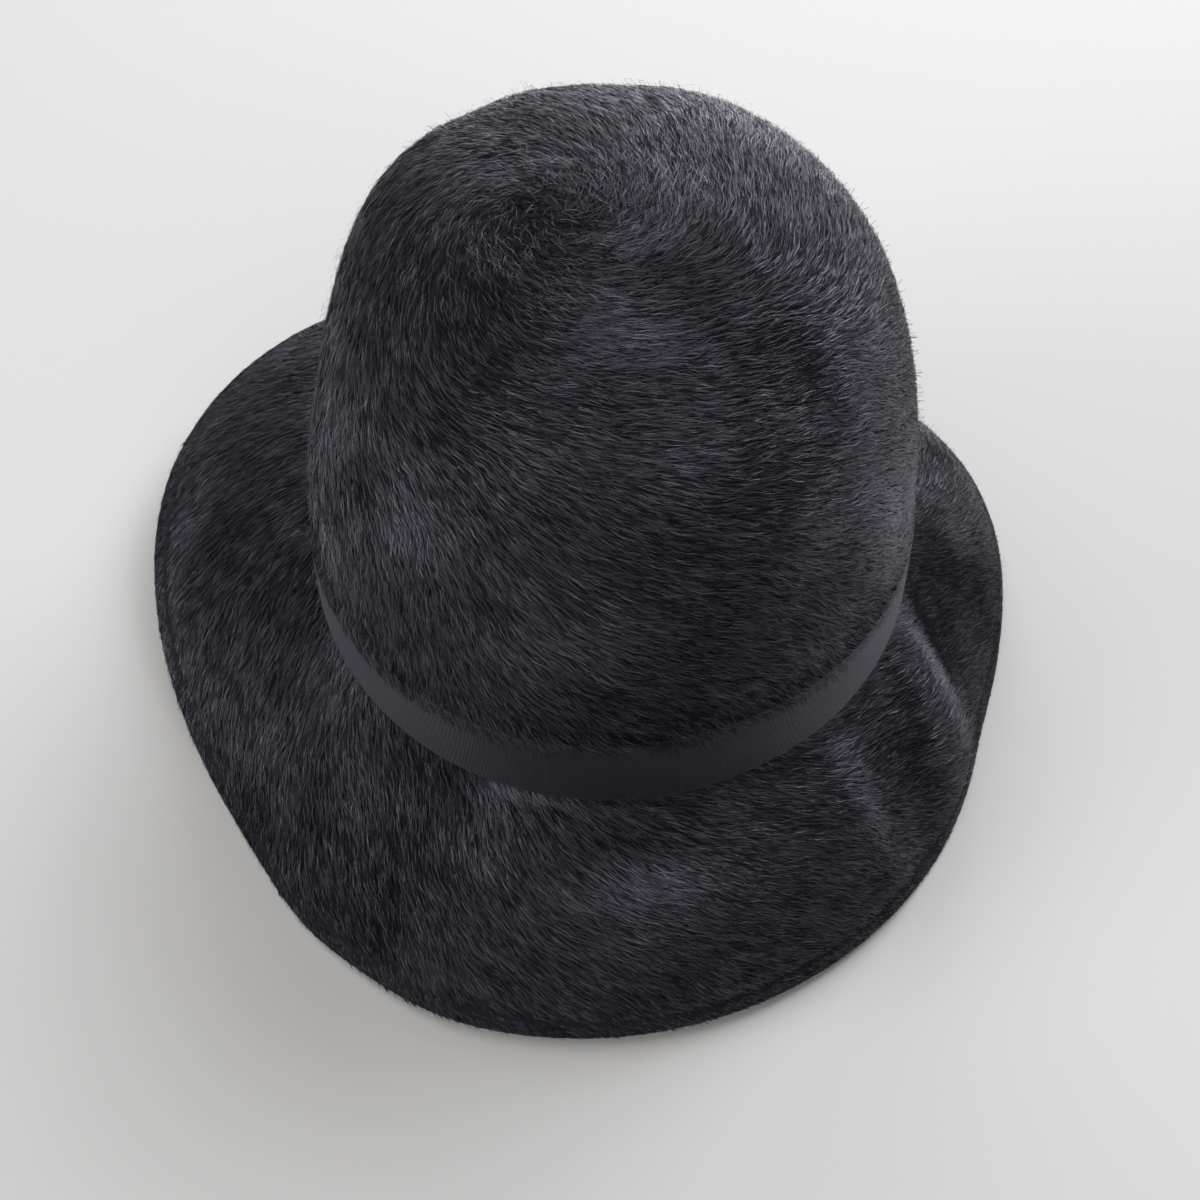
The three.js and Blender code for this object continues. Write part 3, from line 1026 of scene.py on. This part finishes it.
def finish_ribbon(piece, finish, width):
    """Small soft edges as a woven selvedge has them, and a smooth face."""
    edge = piece.modifiers.new("selvedge", "BEVEL")
    edge.width = width
    edge.segments = 2
    edge.limit_method = "ANGLE"
    edge.angle_limit = math.radians(50)
    apply(piece, "selvedge")
    smooth = piece.modifiers.new("round", "SUBSURF")
    smooth.levels = smooth.render_levels = 2
    apply(piece, "round")
    bpy.ops.object.shade_smooth()
    map_ribbon(piece)
    piece.data.materials.append(finish)


def make_ribbon(finish):
    """The ribbon round the crown's foot, and the short lapped end that closes it."""
    ribbon = copy_of("hat_band", "hat_ribbon")
    bpy.ops.mesh.select_all(action="SELECT")
    bpy.ops.mesh.tris_convert_to_quads(face_threshold=math.pi, shape_threshold=math.pi)
    bpy.ops.mesh.select_all(action="DESELECT")
    bpy.ops.mesh.select_mode(type="FACE")
    bpy.ops.object.mode_set(mode="OBJECT")
    upright = LEAN.transposed()
    for face in ribbon.data.polygons:
        home = upright @ (face.center - FOOT)
        outward = Vector((home.x / HALF_WIDTH ** 2, home.y / HALF_LENGTH ** 2, 0)).normalized()
        faces_out = (upright @ face.normal).dot(outward) > 0.7
        face.select = LAP_START < math.degrees(math.atan2(home.y, home.x)) < LAP_END and faces_out
    bpy.ops.object.mode_set(mode="EDIT")
    bpy.ops.mesh.duplicate()
    bpy.ops.mesh.separate(type="SELECTED")
    bpy.ops.mesh.select_mode(type="VERT")
    bpy.ops.object.mode_set(mode="OBJECT")
    lap = next(piece for piece in bpy.context.selected_objects if piece != ribbon)
    lap.name = lap.data.name = "ribbon_lap"
    take(lap)
    bpy.ops.object.mode_set(mode="EDIT")
    bpy.ops.mesh.select_all(action="SELECT")
    bpy.ops.transform.shrink_fatten(value=LAP_LIFT)
    bpy.ops.object.mode_set(mode="OBJECT")
    wall = lap.modifiers.new("wall", "SOLIDIFY")
    wall.thickness = LAP_THICKNESS
    wall.offset = 1
    apply(lap, "wall")
    finish_ribbon(lap, finish, LAP_THICKNESS / 4)
    finish_ribbon(ribbon, finish, RIBBON_EDGE)
    return ribbon, lap


# ---- Build ----------------------------------------------------------------------------------

mottle = mottle_effect()
grain = grain_effect()
hood, seam = make_hood(felt_finish(mottle, grain))
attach(hood, "root")
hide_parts("felt_body")

naps = make_nap(hood)
for nap in naps:
    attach(nap, "root")

stitches = make_stitches(seam, thread_finish(grain))
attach(stitches, "root")

ribbon, lap = make_ribbon(ribbon_finish(mottle, grain))
for strip in (ribbon, lap):
    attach(strip, "root")
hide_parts("hat_band")


# ---- Floor, light and camera ----------------------------------------------------------------

DAYLIGHT = (0.94, 0.965, 1.0)
WHITE = (1, 1, 1)

# The soft boxes: degrees round from the right side, degrees up, watts and colour
LIGHTS = {
    "key_behind_right": (45, 45, 31, DAYLIGHT),
    "low_behind": (90, 15, 27, DAYLIGHT),
    "fill_left": (202, 16, 21, WHITE),
    "fill_near": (292, 45, 9.6, WHITE),
    "overhead": (180, 72, 12.4, WHITE),
}
LIGHT_SIZE = 1.1
LIGHT_DISTANCE = 1.8
LIT_HEIGHT = 0.1
SKY = (0.93, 0.96, 1.0, 1)
SKY_STRENGTH = 0.03

# The camera looks down on the near side of the crown: its place, the ways of its right side, top
# and back, and its lens and sensor in mm
CAMERA_AT = Vector((-6.8, -370.9, 505.9)) * MM
CAMERA_RIGHT = Vector((0.9997, 0.0018, 0.0261))
CAMERA_UP = Vector((-0.0172, 0.7986, 0.6016))
CAMERA_BACK = Vector((-0.0198, -0.6018, 0.7984))
CAMERA_LENS = 52.17
CAMERA_SENSOR = 36

deselect()
bpy.ops.mesh.primitive_plane_add(size=6, location=(0, 0, 0))
floor = bpy.context.object
floor.name = "floor"
floor.data.materials.append(floor_finish(grain))


def soft_light(name, round_to, height, power, colour):
    """A square soft box aimed at the crown, from so many degrees round from the right and up."""
    lamp = bpy.data.lights.new(name, "AREA")
    lamp.color = colour
    lamp.size = LIGHT_SIZE
    lamp.energy = power
    turn, rise = math.radians(round_to), math.radians(height)
    level = math.cos(rise)
    away = Vector((level * math.cos(turn), level * math.sin(turn), math.sin(rise)))
    stand = bpy.data.objects.new(name, lamp)
    stand.location = Vector((0, 0, LIT_HEIGHT)) + away * LIGHT_DISTANCE
    stand.rotation_euler = away.to_track_quat("Z", "Y").to_euler()
    bpy.context.scene.collection.objects.link(stand)


for name, setting in LIGHTS.items():
    soft_light(name, *setting)

world = bpy.data.worlds.new("studio")
world.use_nodes = True
world.node_tree.nodes["Background"].inputs["Color"].default_value = SKY
world.node_tree.nodes["Background"].inputs["Strength"].default_value = SKY_STRENGTH
bpy.context.scene.world = world
bpy.context.scene.view_settings.view_transform = "Standard"

lens = bpy.data.cameras.new("camera")
lens.sensor_width = CAMERA_SENSOR
lens.lens = CAMERA_LENS
lens.clip_start = 0.01
camera = bpy.data.objects.new("camera", lens)
turned = Matrix((CAMERA_RIGHT, CAMERA_UP, CAMERA_BACK)).transposed().to_4x4()
camera.matrix_world = Matrix.Translation(CAMERA_AT) @ turned
bpy.context.scene.collection.objects.link(camera)
bpy.context.scene.camera = camera
